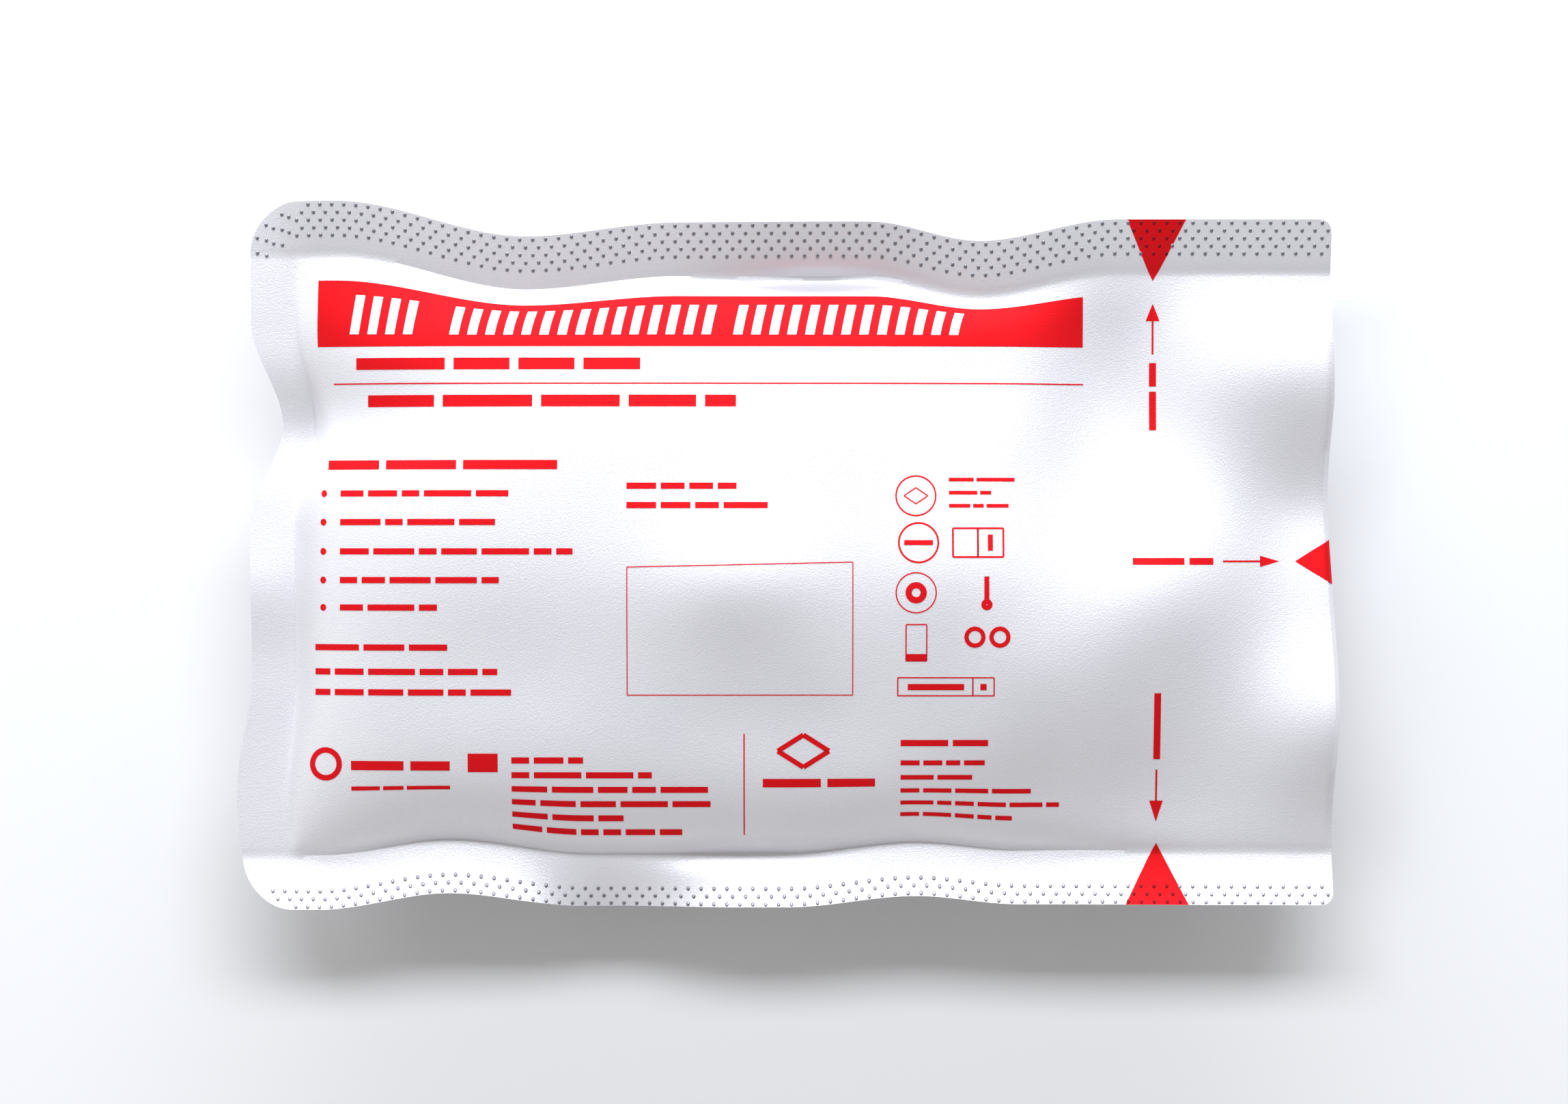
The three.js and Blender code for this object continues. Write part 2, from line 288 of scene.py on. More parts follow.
def rounded_point(x, y, length, width, left_bottom, left_top, right_bottom, right_top):
    """Points of a rectangle, from its bottom left corner, once its corners are rounded."""
    never_zero = 1e-9
    on_left = x < length / 2
    on_bottom = y < width / 2
    left_radius = np.where(on_bottom, left_bottom, left_top)
    right_radius = np.where(on_bottom, right_bottom, right_top)
    radius = np.where(on_left, left_radius, right_radius)
    from_side = np.where(on_left, x, length - x)
    from_end = np.where(on_bottom, y, width - y)
    a = np.clip(1 - from_side / radius, 0, 1)
    b = np.clip(1 - from_end / radius, 0, 1)
    in_corner = (a > 0) & (b > 0)
    shrink = np.maximum(a, b) / np.maximum(np.hypot(a, b), never_zero)
    side = np.where(in_corner, radius * (1 - a * shrink), from_side)
    end = np.where(in_corner, radius * (1 - b * shrink), from_end)
    return np.where(on_left, side, length - side), np.where(on_bottom, end, width - end)


def cut_corners(web_x, web_y):
    """Points of the flat web once its corners are cut round."""
    return rounded_point(
        web_x, web_y, pouch_length, pouch_width,
        bottom_left_radius, top_left_radius, right_corner_radius, right_corner_radius)


def plan_point(x, y):
    """Where points of the flat web lie once its edges are drawn in."""

    def holds(distance, hold, reach):
        return 1 - ease((distance - hold) / (reach - hold))

    top = pouch_width * eased_value(top_edge, x / pouch_length)
    bottom = pouch_width * eased_value(bottom_edge, x / pouch_length)
    left = pouch_length * eased_value(left_edge, y / pouch_width)
    right = pouch_length * eased_value(right_edge, y / pouch_width)
    plan_x = x - pouch_length / 2
    plan_x = plan_x + left * holds(x, side_hold, side_reach)
    plan_x = plan_x - right * holds(pouch_length - x, side_hold, side_reach)
    plan_y = y - pouch_width / 2
    plan_y = plan_y + bottom * holds(y, edge_hold, edge_reach)
    plan_y = plan_y - top * holds(pouch_width - y, edge_hold, edge_reach)
    return plan_x, plan_y


def arch_across(x, y):
    """From 0 at the foot beside each long seal to 1 midway between them."""
    top_foot_width = top_seal_width * (1 + eased_value(top_foot, x / pouch_length))
    body_width = pouch_width - top_foot_width - bottom_seal_width
    share = np.clip((y - bottom_seal_width) / body_width, 0, 1)
    leaning = share ** crest_lean
    round_arch = 4 * leaning * (1 - leaning)
    return (round_arch ** 2 / (round_arch + crease_softness)) ** crest_roundness


def full_along(x):
    """From 0 at the left seal's crease, through 1 over the bandage, to 0 at the right seam."""
    body_length = pouch_length - left_seal_width
    share = np.clip((x - left_seal_width) / body_length, 0, 1)
    flank = np.clip((x - left_seal_width) / flank_reach, 0, 1)
    rise = (1 - (1 - flank) ** 2) ** flank_roundness
    close = ease((pouch_length - x) / empty_length)
    return eased_value(fullness, share) * rise * close


def fill_at(x, y):
    """How far the pack fills the pouch at each point of the web, from 0 to 1."""
    return arch_across(x, y) * full_along(x) * (1 - swell_at(slack_spots, x, y))


def seam_bulge_at(x):
    """The small round bulge of each film in the empty end, closing at the right seam."""
    in_empty_end = 1 - ease((pouch_length - x) / empty_length)
    from_seam = np.clip((pouch_length - x) / right_seam_width, 0, 1)
    return seam_bulge * in_empty_end * np.sqrt(1 - (1 - from_seam) ** 2)


def mid_height(x, y):
    """The surface midway between the films: curled at the cut edges, waved and tucked."""

    def curl(distance, width, power):
        return np.clip(1 - distance / width, 0, 1) ** power

    top_lift = top_seal_lift * eased_value(top_curl, x / pouch_length)
    bottom_lift = bottom_seal_lift * eased_value(bottom_curl, x / pouch_length)
    lift = top_lift * curl(pouch_width - y, top_seal_width, top_curl_power)
    lift = lift + bottom_lift * curl(y, bottom_seal_width, bottom_curl_power)
    lift = lift + left_seal_lift * curl(x, left_seal_width, left_curl_power)
    waves = front_rise * swell_at(shared_dents, x, y) * np.sqrt(arch_across(x, y))
    tucks = front_rise * swell_at(crease_tucks, x, y)
    return seam_height + lift + waves + tucks


def front_top(x, y):
    """The height of the front film's outer face."""
    full = fill_at(x, y)
    rise = full + swell_at(front_dents, x, y) * np.sqrt(full)
    bulge = seam_bulge_at(x) * arch_across(x, y)
    return mid_height(x, y) + seal_gap / 2 + film_wall + front_rise * rise + bulge


def front_under(x, y):
    """The height of the front film's inner face."""
    return front_top(x, y) - film_wall


def back_top(x, y):
    """The height of the back film's inner face, one wall up where the film rests."""
    full = fill_at(x, y)
    sag = full - swell_at(back_dents, x, y) * np.sqrt(full)
    bulge = seam_bulge_at(x) * arch_across(x, y)
    hanging = mid_height(x, y) - seal_gap / 2 - (seam_height + back_press) * sag - bulge
    return np.maximum(film_wall, hanging)


def back_under(x, y):
    """The height of the back film's outer face."""
    return back_top(x, y) - film_wall


# Finishes.

def linear(code):
    """An sRGB hex colour as linear red, green, blue and alpha."""
    parts = [int(code[i:i + 2], 16) / 255 for i in (1, 3, 5)]
    return [p / 12.92 if p <= 0.04045 else ((p + 0.055) / 1.055) ** 2.4 for p in parts] + [1]


def add_node(tree, kind, settings=None, links=None):
    """A shader node with its settings (attributes or input values) and its incoming links."""
    node = tree.nodes.new(kind)
    for name, value in (settings or {}).items():
        if name in node.inputs:
            node.inputs[name].default_value = value
        else:
            setattr(node, name, value)
    for name, source in (links or {}).items():
        tree.links.new(source, node.inputs[name])
    return node


def new_material(name, color):
    """An empty material and its node tree."""
    material = bpy.data.materials.new(name)
    material.use_nodes = True
    material.diffuse_color = linear(color)
    material.node_tree.nodes.clear()
    return material, material.node_tree


def finish_material(tree, shader):
    """Links the shader to the material's output."""
    add_node(tree, "ShaderNodeOutputMaterial", links={"Surface": shader.outputs["BSDF"]})


def metallised_film(name, color, cloudy_color, metal, roughness, shine, grain_depth):
    """The laminate's outer face, bare or under a layer of ink."""
    material, tree = new_material(name, color)
    grain_size = 0.25 * MM
    cloud_size = 14 * MM
    noise_low = 0.3
    noise_high = 0.7
    rubbing = 0.04
    place = add_node(tree, "ShaderNodeTexCoord").outputs["Object"]
    grain = add_node(tree, "ShaderNodeTexNoise", {
        "Scale": 1 / grain_size, "Detail": 2.0, "Roughness": 0.6,
    }, {"Vector": place})
    clouds = add_node(tree, "ShaderNodeTexNoise", {
        "Scale": 1 / cloud_size, "Detail": 3.0, "Roughness": 0.5,
    }, {"Vector": place})
    tint = add_node(tree, "ShaderNodeValToRGB", links={"Fac": clouds.outputs["Fac"]})
    tint.color_ramp.elements[0].position = noise_low
    tint.color_ramp.elements[0].color = linear(color)
    tint.color_ramp.elements[1].position = noise_high
    tint.color_ramp.elements[1].color = linear(cloudy_color)
    rubbed = add_node(tree, "ShaderNodeMapRange", {
        "From Min": noise_low, "From Max": noise_high,
        "To Min": roughness - rubbing, "To Max": roughness + rubbing,
    }, {"Value": grain.outputs["Fac"]})
    relief = add_node(tree, "ShaderNodeBump", {
        "Strength": 1.0, "Distance": grain_depth * MM,
    }, {"Height": grain.outputs["Fac"]})
    shader = add_node(tree, "ShaderNodeBsdfPrincipled", {
        "Metallic": metal, "IOR": 1.5, "Specular IOR Level": shine,
    }, {
        "Base Color": tint.outputs["Color"],
        "Roughness": rubbed.outputs["Result"],
        "Normal": relief.outputs["Normal"],
    })
    finish_material(tree, shader)
    return material


def cut_edge(name, color):
    """The cut edge of the laminate: clear polyester over white, smooth and faintly lavender."""
    material, tree = new_material(name, color)
    layer_size = 0.6 * MM
    place = add_node(tree, "ShaderNodeTexCoord").outputs["Object"]
    layers = add_node(tree, "ShaderNodeTexNoise", {
        "Scale": 1 / layer_size, "Detail": 1.0,
    }, {"Vector": place})
    tint = add_node(tree, "ShaderNodeValToRGB", links={"Fac": layers.outputs["Fac"]})
    tint.color_ramp.elements[0].color = linear(color)
    tint.color_ramp.elements[1].color = linear("#FFFFFF")
    shader = add_node(tree, "ShaderNodeBsdfPrincipled", {
        "Metallic": 0.0, "IOR": 1.57, "Roughness": 0.3,
    }, {"Base Color": tint.outputs["Color"]})
    finish_material(tree, shader)
    return material


def elastic_gauze(name, color, weave_hollow_shade_color):
    """Elastic cotton gauze: matt, off-white, woven in threads about 0.8 mm apart, with painted
    shade in the hollows between the threads.
    """
    material, tree = new_material(name, color)
    thread_pitch = 0.8 * MM
    thread_height = 0.2 * MM
    # At a scale of 1 Blender's wave texture has a band every 0.314 units.
    pitch_at_scale_one = 0.314
    place = add_node(tree, "ShaderNodeTexCoord").outputs["Object"]
    warp = add_node(tree, "ShaderNodeTexWave", {
        "wave_type": "BANDS", "bands_direction": "X", "Scale": pitch_at_scale_one / thread_pitch,
        "Distortion": 0.6, "Detail": 1.0,
    }, {"Vector": place})
    weft = add_node(tree, "ShaderNodeTexWave", {
        "wave_type": "BANDS", "bands_direction": "Y", "Scale": pitch_at_scale_one / thread_pitch,
        "Distortion": 0.6, "Detail": 1.0,
    }, {"Vector": place})
    weave = add_node(tree, "ShaderNodeMath", {"operation": "MAXIMUM"})
    tree.links.new(warp.outputs["Fac"], weave.inputs[0])
    tree.links.new(weft.outputs["Fac"], weave.inputs[1])
    # Painted shade: where the weave is low, between the threads, the colour turns darker.
    tint = add_node(tree, "ShaderNodeValToRGB", links={"Fac": weave.outputs["Value"]})
    tint.color_ramp.elements[0].color = linear(weave_hollow_shade_color)
    tint.color_ramp.elements[1].color = linear(color)
    relief = add_node(tree, "ShaderNodeBump", {
        "Strength": 0.6, "Distance": thread_height,
    }, {"Height": weave.outputs["Value"]})
    shader = add_node(tree, "ShaderNodeBsdfPrincipled", {
        "Metallic": 0.0, "Roughness": 0.92, "Sheen Weight": 0.25, "Sheen Roughness": 0.4,
    }, {"Base Color": tint.outputs["Color"], "Normal": relief.outputs["Normal"]})
    finish_material(tree, shader)
    return material


def painted_board(name, color):
    """The studio's matt white floor board."""
    material, tree = new_material(name, color)
    tooth_size = 1.5 * MM
    tooth_depth = 0.05 * MM
    place = add_node(tree, "ShaderNodeTexCoord").outputs["Object"]
    tooth = add_node(tree, "ShaderNodeTexNoise", {"Scale": 1 / tooth_size}, {"Vector": place})
    relief = add_node(tree, "ShaderNodeBump", {
        "Strength": 0.05, "Distance": tooth_depth,
    }, {"Height": tooth.outputs["Fac"]})
    shader = add_node(tree, "ShaderNodeBsdfPrincipled", {
        "Base Color": linear(color), "Roughness": 0.9, "Specular IOR Level": 0.1,
    }, {"Normal": relief.outputs["Normal"]})
    finish_material(tree, shader)
    return material


# White metallised laminate: pale and satin, with broad soft highlights and a fine grain.
white_laminate = metallised_film(
    "white_metallised_laminate", "#F2F0F4", "#EEEDF1", 0.3, 0.42, 0.35, 0.065)
# The same laminate pressed by the crimping bar, with painted shade: its raised dots are coloured
# grey so that they look shaded, and they mirror more.
crimp_dot_shade_laminate = metallised_film(
    "crimp_dot_painted_shade_laminate", "#A2A2AA", "#9C9CA4", 0.9, 0.4, 0.35, 0.04)
# Gravure ink over the laminate: a clean satin red that mirrors little.
red_ink = metallised_film(
    "red_gravure_ink", "#E81A22", "#E4181F", 0.3, 0.5, 0.05, 0.04)
# The same red print on the raised dots, darkened as painted shade so that the inked dots look
# shaded.
crimp_dot_shade_ink = metallised_film(
    "crimp_dot_painted_shade_ink", "#8E2028", "#861C24", 0.3, 0.5, 0.05, 0.04)
# Clear polyester over white at the cut: a smooth, faintly lavender line round the pouch.
film_edge = cut_edge("laminate_cut_edge", "#DCDDF0")
# Cotton gauze, hidden in the pouch: matt off-white, with a visible weave and painted shade between
# its threads.
gauze = elastic_gauze("elastic_cotton_gauze", "#EFE9DB", "#CFC6B2")
# Painted board: a plain matt white floor that takes the shadow.
floor_board = painted_board("white_floor_board", "#F4F4F4")


# Meshes.

def new_piece(name, points, faces, materials, slots=None, sharp=None):
    """A smooth-shaded object from points in millimetres."""
    mesh = bpy.data.meshes.new(name)
    mesh.from_pydata([tuple(p) for p in np.asarray(points) * MM], [], faces)
    for material in materials:
        mesh.materials.append(material)
    if slots is not None:
        mesh.polygons.foreach_set("material_index", slots)
    mesh.polygons.foreach_set("use_smooth", [True] * len(faces))
    mesh.update()
    if sharp is not None:
        mesh.set_sharp_from_angle(angle=math.radians(sharp))
    piece = bpy.data.objects.new(name, mesh)
    bpy.context.collection.objects.link(piece)
    return piece


def lines_between(stops, step):
    """Grid lines through each stop, evenly spaced between stops and about a step apart."""
    lines = [stops[0]]
    for before, after in zip(stops[:-1], stops[1:]):
        count = max(1, round((after - before) / step))
        lines.extend(before + (after - before) * (k + 1) / count for k in range(count))
    return np.array(lines)


def grid_faces(columns, rows, first, up):
    """Quads over a grid of points, facing up or down."""
    faces = []
    for j in range(rows - 1):
        for i in range(columns - 1):
            a = first + j * columns + i
            b = a + columns
            faces.append((a, a + 1, b + 1, b) if up else (a, b, b + 1, a + 1))
    return faces


def rim_of(columns, rows):
    """The grid points round the rim, in order, as offsets."""
    rim = list(range(columns - 1))
    rim += [j * columns + columns - 1 for j in range(rows - 1)]
    rim += [(rows - 1) * columns + i for i in range(columns - 1, 0, -1)]
    rim += [j * columns for j in range(rows - 1, 0, -1)]
    return rim


def film_piece(name, top_surface, under_surface, step):
    """A closed film between two surfaces over the web, with its cut edge in a slot of its own."""
    edge_angle = 35
    xs = lines_between([0, left_seal_width, pouch_length - right_seam_width, pouch_length], step)
    ys = lines_between([0, bottom_seal_width, pouch_width - top_seal_width, pouch_width], step)
    x, y = cut_corners(*np.meshgrid(xs, ys))
    plan_x, plan_y = plan_point(x, y)
    upper = np.stack([plan_x, plan_y, top_surface(x, y)], -1).reshape(-1, 3)
    lower = np.stack([plan_x, plan_y, under_surface(x, y)], -1).reshape(-1, 3)
    count = len(upper)
    faces = grid_faces(len(xs), len(ys), 0, True)
    faces += grid_faces(len(xs), len(ys), count, False)
    slots = [0] * len(faces)
    rim = rim_of(len(xs), len(ys))
    for k, here in enumerate(rim):
        after = rim[(k + 1) % len(rim)]
        faces.append((count + here, count + after, after, here))
        slots.append(1)
    points = np.vstack([upper, lower])
    return new_piece(name, points, faces, [white_laminate, film_edge], slots, edge_angle)


film_grid_step = 0.75
front_film = film_piece("front_film_skin", front_top, front_under, film_grid_step)
back_film = film_piece("back_film_skin", back_top, back_under, film_grid_step)
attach(front_film, "root")
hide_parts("front_film")
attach(back_film, "root")
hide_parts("back_film")


# Folded bandage, hidden in the pouch.

def folded_bandage():
    """A soft folded block with its fold lines round the rim."""
    left = left_seal_width + pack_margin
    bottom = bottom_seal_width + pack_margin
    length = pouch_length - empty_length - left
    width = pouch_width - top_seal_width - pack_margin - bottom
    most_clearance = 1.2
    clearance_share = 0.25
    layers = 6
    rings_per_layer = 4
    fold_depth = 0.5
    grid_step = 1.5
    xs = lines_between([0, length], grid_step)
    ys = lines_between([0, width], grid_step)
    x, y = np.meshgrid(xs, ys)
    radius = pack_corner_radius
    inner_x, inner_y = rounded_point(x, y, length, width, radius, radius, radius, radius)
    web_x = left + inner_x
    web_y = bottom + inner_y
    plan_x, plan_y = plan_point(web_x, web_y)
    low = back_top(web_x, web_y)
    high = front_under(web_x, web_y)
    clearance = np.minimum(most_clearance, clearance_share * (high - low))
    low = low + clearance
    high = high - clearance
    upper = np.stack([plan_x, plan_y, high], -1).reshape(-1, 3)
    lower = np.stack([plan_x, plan_y, low], -1).reshape(-1, 3)
    count = len(upper)
    points = [upper, lower]
    faces = grid_faces(len(xs), len(ys), 0, True)
    faces += grid_faces(len(xs), len(ys), count, False)
    rim = rim_of(len(xs), len(ys))
    middle = upper.mean(axis=0)[:2]
    rings = [[count + k for k in rim]]
    steps = layers * rings_per_layer
    for step in range(1, steps):
        share = step / steps
        pinch = fold_depth * (0.5 + 0.5 * math.cos(2 * math.pi * layers * share))
        out = pack_rim_bulge * math.sin(math.pi * share) - pinch
        ring = lower[rim] + (upper[rim] - lower[rim]) * share
        away = ring[:, :2] - middle
        away = away / np.linalg.norm(away, axis=1, keepdims=True)
        ring[:, :2] += away * out
        start = sum(len(p) for p in points)
        points.append(ring)
        rings.append([start + k for k in range(len(rim))])
    rings.append(list(rim))
    for below, above in zip(rings[:-1], rings[1:]):
        for k in range(len(rim)):
            after = (k + 1) % len(rim)
            faces.append((below[k], below[after], above[after], above[k]))
    return new_piece("folded_bandage_cloth", np.vstack(points), faces, [gauze])


bandage = folded_bandage()
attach(bandage, "root")
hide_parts("folded_bandage")


# Crimp dots of the long seals.

dot_pitch = 2.09
dot_row_pitch = 1.22
dot_length = 0.64
dot_breadth = 0.8
dot_height = 0.15
dot_sink = 0.06
top_dot_rows = 5
top_first_row = 0.57
bottom_dot_rows = 3
bottom_first_row = 0.45

# The pitch is tighter by end_squeeze at the left end, and eases to its full size by
# squeeze_reach.
end_squeeze = 0.1
squeeze_reach = 45

# Within corner_reach of the left edge, the top seal's rows spread out and slope down.
corner_reach = 8
corner_spread = 1.3
corner_slope = 0.58

# Tear marks: each is a triangle on a seal with its tip pointing into the pouch.
tear_triangles = [
    [(143.8, pouch_width), (153.3, pouch_width), (148.1, 104.3)],
    [(143.5, 0), (153.7, 0), (148.6, 9.9)],
    [(pouch_length, 59.7), (pouch_length, 52.5), (171.8, 56.2)],
]


def in_triangle(x, y, corners):
    """Whether a point lies in a triangle, whichever way round its corners go."""
    signs = []
    for (ax, ay), (bx, by) in zip(corners, corners[1:] + corners[:1]):
        signs.append((bx - ax) * (y - ay) - (by - ay) * (x - ax) > 0)
    return all(signs) or not any(signs)


def in_cut_web(x, y):
    """Whether a dot's place lies on the web once the web's left corners are cut round."""
    radius, from_end = top_left_radius, pouch_width - y
    if y < pouch_width / 2:
        radius, from_end = bottom_left_radius, y
    if x > radius or from_end > radius:
        return x > dot_length
    return math.hypot(radius - x, radius - from_end) < radius - dot_length


def dot_places():
    """Web places of the crimp dots, in staggered rows along both long seals."""
    places = []
    samples_along = 300
    rows = [(pouch_width - top_first_row - k * dot_row_pitch, k) for k in range(top_dot_rows)]
    rows += [(bottom_first_row + k * dot_row_pitch, k) for k in range(bottom_dot_rows)]
    web_xs = np.linspace(0, pouch_length, samples_along)
    for row_y, k in rows:
        lying_xs = plan_point(web_xs, np.full(len(web_xs), row_y))[0]
        lying_x = -pouch_length / 2 + dot_pitch * (0.5 if k % 2 else 1)
        while lying_x < pouch_length / 2 - dot_length:
            x = float(np.interp(lying_x, lying_xs, web_xs))
            in_corner = max(0, corner_reach - x) if row_y > pouch_width / 2 else 0
            dot_x = x - (corner_spread - 1) * in_corner
            dot_y = row_y - corner_slope * corner_spread * in_corner
            if in_cut_web(dot_x, dot_y):
                places.append((dot_x, dot_y))
            lying_x += dot_pitch * (1 - end_squeeze * (1 - float(ease(x / squeeze_reach))))
    return places


def crimp_dots(name, places, surface, outwards, material):
    """Small round-topped bumps, sunk a little into the film they stand on."""
    around = 10
    slope_step = 0.2
    # Each ring: its share of the dot's size in plan, and its height over the film.
    foot = (1.0, -dot_sink)
    shoulder = (0.86, 0.45 * dot_height)
    crown = (0.5, 0.85 * dot_height)
    rings = [foot, shoulder, crown]
    web = np.array(places)
    plan_x, plan_y = plan_point(web[:, 0], web[:, 1])
    points = []
    faces = []
    for cx, cy, (wx, wy) in zip(plan_x, plan_y, places):
        first = len(points)
        base = float(surface(np.array(wx), np.array(wy)))
        inner = wy - slope_step if wy > pouch_width / 2 else wy + slope_step
        slope = (float(surface(np.array(wx), np.array(inner))) - base) / (inner - wy)
        for share, rise in rings:
            for k in range(around):
                turn = 2 * math.pi * k / around
                dx = share * dot_length / 2 * math.cos(turn)
                dy = share * dot_breadth / 2 * math.sin(turn)
                points.append((cx + dx, cy + dy, base + slope * dy + outwards * rise))
        points.append((cx, cy, base + outwards * dot_height))
        points.append((cx, cy, base - outwards * dot_sink))
        for ring in range(len(rings) - 1):
            for k in range(around):
                a = first + ring * around + k
                b = first + ring * around + (k + 1) % around
                quad = (a, b, b + around, a + around)
                faces.append(quad if outwards > 0 else quad[::-1])
        last = first + (len(rings) - 1) * around
        tip = first + len(rings) * around
        for k in range(around):
            cap = (last + k, last + (k + 1) % around, tip)
            sole = (first + (k + 1) % around, first + k, tip + 1)
            faces.append(cap if outwards > 0 else cap[::-1])
            faces.append(sole if outwards > 0 else sole[::-1])
    return new_piece(name, points, faces, [material])


all_dots = dot_places()
inked_dots = [p for p in all_dots if any(in_triangle(*p, t) for t in tear_triangles)]
bare_dots = [p for p in all_dots if p not in inked_dots]
# The dot pieces carry painted shade: their grey and dark red finishes make the dots look shaded.
dot_pieces = [
    crimp_dots("front_crimp_dots", bare_dots, front_top, 1, crimp_dot_shade_laminate),
    crimp_dots("front_inked_crimp_dots", inked_dots, front_top, 1, crimp_dot_shade_ink),
    crimp_dots("back_crimp_dots", all_dots, back_under, -1, crimp_dot_shade_laminate),
]
for piece, slot in zip(dot_pieces, ["printed_film", "printed_film", "plain_film"]):
    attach(piece, "root")


# Print: plain marks in the places of the words and signs, laid on the web before it was filled.
# The places were read in the photograph and turned into millimetres on the web.

ink_lift = 0.05
patch_size = 0.6
ring_segments = 48


class Print:
    """Flat patches on the web, gathered into one layer of ink."""

    def __init__(self):
        self.points = []
        self.faces = []

    def patch(self, place, along, across):
        """A patch whose place(u, v) gives web millimetres, cut finely enough to follow the film."""
        first = len(self.points)
        columns = along + 1
        for j in range(across + 1):
            for i in range(columns):
                self.points.append(place(i / along, j / across))
        self.faces += grid_faces(columns, across + 1, first, True)

    def quad(self, a, b, c, d):
        """A four-cornered patch, from a along to b, and across to d and c."""

        def place(u, v):
            low = (a[0] + (b[0] - a[0]) * u, a[1] + (b[1] - a[1]) * u)
            high = (d[0] + (c[0] - d[0]) * u, d[1] + (c[1] - d[1]) * u)
            return low[0] + (high[0] - low[0]) * v, low[1] + (high[1] - low[1]) * v

        along = max(1, math.ceil(max(math.dist(a, b), math.dist(d, c)) / patch_size))
        across = max(1, math.ceil(max(math.dist(a, d), math.dist(b, c)) / patch_size))
        self.patch(place, along, across)

    def bar(self, left, bottom, right, top, lean=0.0):
        """An upright bar whose top leans to the right by lean."""
        self.quad((left, bottom), (right, bottom), (right + lean, top), (left + lean, top))

    def line(self, a, b, breadth):
        """A straight stroke."""
        length = math.dist(a, b)
        nx = -(b[1] - a[1]) / length * breadth / 2
        ny = (b[0] - a[0]) / length * breadth / 2
        self.quad(
            (a[0] - nx, a[1] - ny), (b[0] - nx, b[1] - ny),
            (b[0] + nx, b[1] + ny), (a[0] + nx, a[1] + ny))

    def outline(self, corners, breadth):
        """A closed outline through the corners."""
        for a, b in zip(corners, corners[1:] + corners[:1]):
            self.line(a, b, breadth)

    def triangle(self, a, b, tip):
        self.quad(a, b, tip, tip)

    def ring(self, x, y, radius, breadth):
        """A round line, measured in from its outer radius."""

        def place(u, v):
            r = radius - breadth * v
            return x + r * math.cos(2 * math.pi * u), y + r * math.sin(2 * math.pi * u)

        self.patch(place, ring_segments, max(1, math.ceil(breadth / patch_size)))

    def words(self, left, middle, length, height, upright=False):
        """A line of words as plain bars: bars of seeded lengths that fill the line's length."""
        chance = random.Random(round(left * 7 + middle * 13))
        letter = height * 0.95
        gap = height * 0.75
        shortest = 3
        longest = 8
        at = 0.0
        while at < length - letter:
            run = min(letter * chance.randint(shortest, longest), length - at)
            if length - at - run < letter * shortest:
                run = length - at
            if upright:
                self.bar(left - height / 2, middle + at, left + height / 2, middle + at + run)
            else:
                self.bar(left + at, middle - height / 2, left + at + run, middle + height / 2)
            at += run + gap

    def lay(self, name, lift, material):
        """The layer as a sheet of ink, lift above the front film."""
        web = np.array(self.points)
        x = np.clip(web[:, 0], 0, pouch_length)
        y = np.clip(web[:, 1], 0, pouch_width)
        plan_x, plan_y = plan_point(x, y)
        points = np.stack([plan_x, plan_y, front_top(x, y) + lift], -1)
        piece = new_piece(name, points, self.faces, [material])
        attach(piece, "root")


def banner():
    """The broad red band, with three runs of bare slanted strokes."""
    band = Print()
    band.quad((12.6, 90.8), (136.8, 90.8), (136.8, 101.4), (12.8, 101.6))
    band.lay("banner_ink", ink_lift, red_ink)
    strokes = Print()
    stroke = 1.5
    pitch = 2.9
    stroke_foot = 92.8
    stroke_head = 99.3
    for start, end in [(18.3, 31.0), (34.5, 78.2), (80.2, 118.0)]:
        for k in range(int((end - start) / pitch)):
            left = start + k * pitch
            strokes.bar(left, stroke_foot, left + stroke, stroke_head, lean=1.0)
    strokes.lay("banner_strokes", 2 * ink_lift, white_laminate)


def word_bars():
    """Lines of words as plain bars. Each row: left, middle, length, bar height."""
    words = Print()
    rows = [
        (19.4, 88.0, 45.9, 1.9),
        (21.3, 82.0, 59.4, 1.9),
        (14.8, 71.7, 37.3, 1.5),
        (63.2, 68.3, 17.6, 1.0),
        (63.2, 65.2, 22.6, 1.0),
        (12.6, 42.4, 21.9, 1.0),
        (12.6, 38.5, 29.9, 1.0),
        (12.6, 35.2, 32.1, 1.0),
        (114.8, 69.3, 10.6, 0.6),
        (114.8, 67.2, 6.8, 0.6),
        (114.8, 65.1, 9.6, 0.6),
    ]
    for left, middle, length, height in rows:
        words.words(left, middle, length, height)
    points = [(67.1, 27.2), (62.5, 25.1), (57.8, 37.5), (53.2, 25.7), (48.8, 15.8)]
    for middle, length in points:
        words.ring(14.2, middle, 0.55, 0.5)
        words.words(17.1, middle, length, 1.0)
    words.line((15.6, 84.8), (136.9, 84.8), 0.22)
    words.lay("word_bars_ink", ink_lift, red_ink)


def foot_marks():
    """The two plain emblems and blocks of words along the foot of the print."""
    foot = Print()
    line_pitch = 2.4
    foot.ring(14.6, 23.6, 2.7, 0.9)
    foot.words(18.8, 23.4, 16.0, 1.5)
    foot.words(18.8, 19.6, 16.0, 0.7)
    foot.bar(37.7, 22.4, 42.5, 25.4)
    lengths = [11.5, 22.5, 31.5, 31.9, 17.9, 27.3]
    for k, length in enumerate(lengths):
        foot.words(44.7, 24.3 - line_pitch * k, length, 1.0)
    foot.line((82.0, 28.6), (82.0, 11.8), 0.2)
    foot.outline([(91.5, 28.4), (95.6, 25.8), (91.5, 23.2), (87.4, 25.8)], 0.8)
    foot.words(85.0, 20.6, 18.0, 1.4)
    foot.words(107.1, 27.1, 14.0, 1.0)
    for k, length in enumerate([13.5, 11.5, 21.0, 25.6, 18.0]):
        foot.words(107.1, 23.9 - line_pitch * k, length, 0.8)
    foot.lay("foot_marks_ink", ink_lift, red_ink)


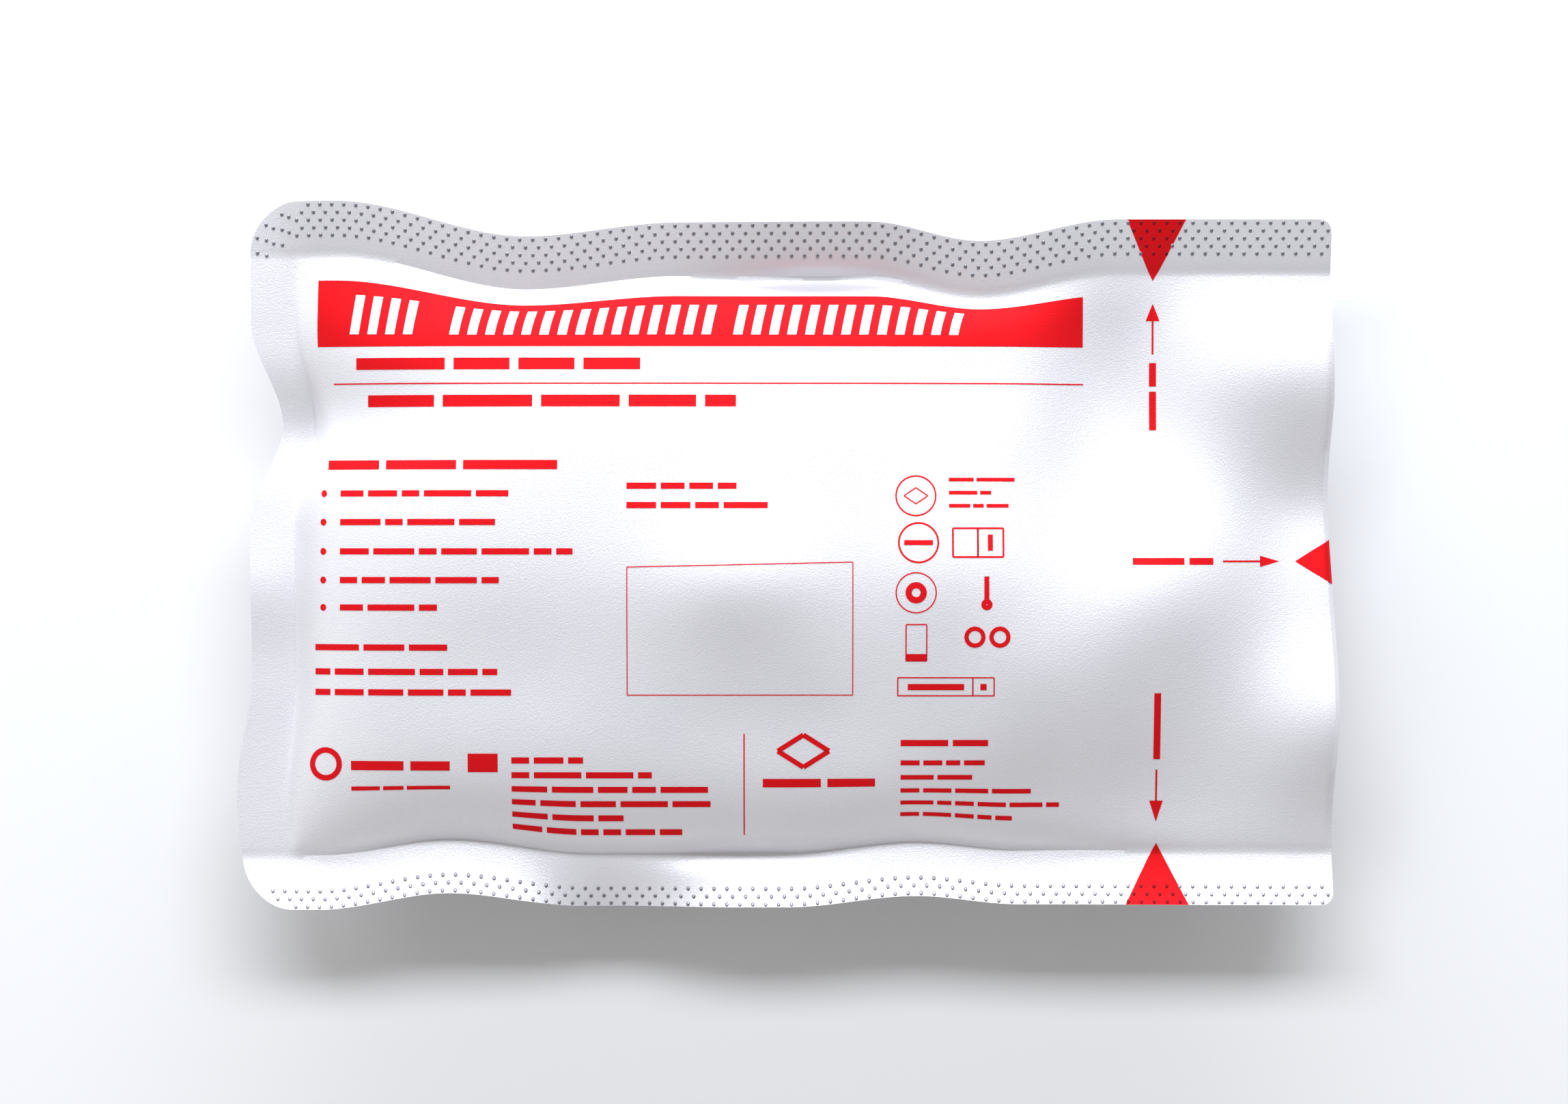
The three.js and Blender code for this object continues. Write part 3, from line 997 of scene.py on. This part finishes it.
def sign_column():
    """The blank writing box and the column of plain figures."""
    signs = Print()
    signs.outline([(63.3, 34.8), (99.4, 34.8), (99.4, 56.1), (63.3, 55.3)], 0.16)
    for x, y, breadth in [(109.5, 66.7, 0.25), (109.9, 59.2, 0.3), (109.5, 51.2, 0.2)]:
        signs.ring(x, y, 3.3, breadth)
    signs.outline([(107.6, 66.7), (109.5, 65.4), (111.4, 66.7), (109.5, 68.0)], 0.2)
    signs.words(107.6, 59.2, 4.6, 0.8)
    signs.ring(109.5, 51.2, 1.7, 1.0)
    signs.outline([(115.4, 56.9), (119.4, 56.9), (119.4, 61.5), (115.4, 61.5)], 0.3)
    signs.outline([(119.4, 56.9), (123.5, 56.9), (123.5, 61.5), (119.4, 61.5)], 0.3)
    signs.bar(121.0, 57.9, 121.8, 60.5)
    signs.bar(120.4, 49.4, 121.2, 53.8)
    signs.ring(120.8, 49.3, 0.9, 0.8)
    signs.outline([(107.9, 40.3), (111.2, 40.3), (111.2, 46.1), (107.9, 46.1)], 0.2)
    signs.bar(107.9, 40.3, 111.2, 41.4)
    signs.ring(118.9, 44.1, 1.7, 0.7)
    signs.ring(122.9, 44.1, 1.7, 0.7)
    signs.outline([(106.6, 34.7), (118.6, 34.7), (118.6, 37.6), (106.6, 37.6)], 0.2)
    signs.outline([(118.6, 34.7), (122.0, 34.7), (122.0, 37.6), (118.6, 37.6)], 0.2)
    signs.words(108.2, 36.1, 9.0, 1.0)
    signs.bar(119.8, 35.6, 120.8, 36.6)
    signs.lay("sign_column_ink", ink_lift, red_ink)


def tear_marks():
    """The triangles on the seals, with arrows and words that lead to them."""
    marks = Print()
    for a, b, tip in tear_triangles:
        marks.triangle(a, b, tip)
    marks.triangle((149.2, 95.6), (147.0, 95.6), (148.1, 99.4))
    marks.line((148.1, 95.7), (148.1, 89.7), 0.3)
    marks.words(148.1, 77.4, 10.9, 1.1, upright=True)
    marks.triangle((147.4, 17.3), (149.6, 17.3), (148.5, 13.6))
    marks.line((148.5, 17.2), (148.5, 22.6), 0.3)
    marks.words(148.5, 24.3, 10.7, 1.1, upright=True)
    marks.triangle((165.4, 55.3), (165.4, 57.1), (168.9, 56.2))
    marks.line((159.1, 56.2), (165.5, 56.2), 0.3)
    marks.words(144.4, 56.2, 13.1, 1.1)
    marks.lay("tear_marks_ink", ink_lift, red_ink)


banner()
word_bars()
foot_marks()
sign_column()
tear_marks()


# Studio: a white floor, a low and a high key softbox from the top of the view, weak fills from
# the left and from the foot, and a pale surround.

def floor():
    """The board that the pouch lies on, wide enough to fill any view."""
    half = 6000
    corners = [(-half, -half, 0), (half, -half, 0), (half, half, 0), (-half, half, 0)]
    board = new_piece("floor_board", corners, [(0, 1, 2, 3)], [floor_board])


def softbox(name, side_angle, height_angle, distance, breadth, depth, watts, color):
    """An area light aimed at the pouch, its sizes in metres. side_angle turns it right of +Y."""
    data = bpy.data.lights.new(name, "AREA")
    data.shape = "RECTANGLE"
    data.size = breadth
    data.size_y = depth
    data.energy = watts
    data.color = linear(color)[:3]
    light = bpy.data.objects.new(name, data)
    turn = math.radians(side_angle)
    climb = math.radians(height_angle)
    light.location = (
        distance * math.cos(climb) * math.sin(turn),
        distance * math.cos(climb) * math.cos(turn),
        distance * math.sin(climb),
    )
    light.rotation_euler = (-(math.pi / 2 - climb), 0, -turn)
    bpy.context.collection.objects.link(light)


def surround(color, strength):
    """Even light from all round."""
    world = bpy.data.worlds.new("pale_surround")
    world.use_nodes = True
    background = world.node_tree.nodes["Background"]
    background.inputs["Color"].default_value = linear(color)
    background.inputs["Strength"].default_value = strength
    bpy.context.scene.world = world


floor()
softbox("low_key_softbox", 0, 15, 1.2, 1.5, 0.3, 16, "#F3F7FF")
softbox("high_key_softbox", 0, 48, 1.2, 1.5, 0.3, 14, "#F3F7FF")
softbox("left_fill_softbox", -90, 40, 1.2, 1.2, 0.6, 2.2, "#FFFFFF")
softbox("foot_fill_softbox", 180, 12, 1.2, 1.5, 0.3, 1.8, "#FFFFFF")
surround("#FFFEFC", 0.262)
bpy.context.scene.view_settings.view_transform = "Standard"
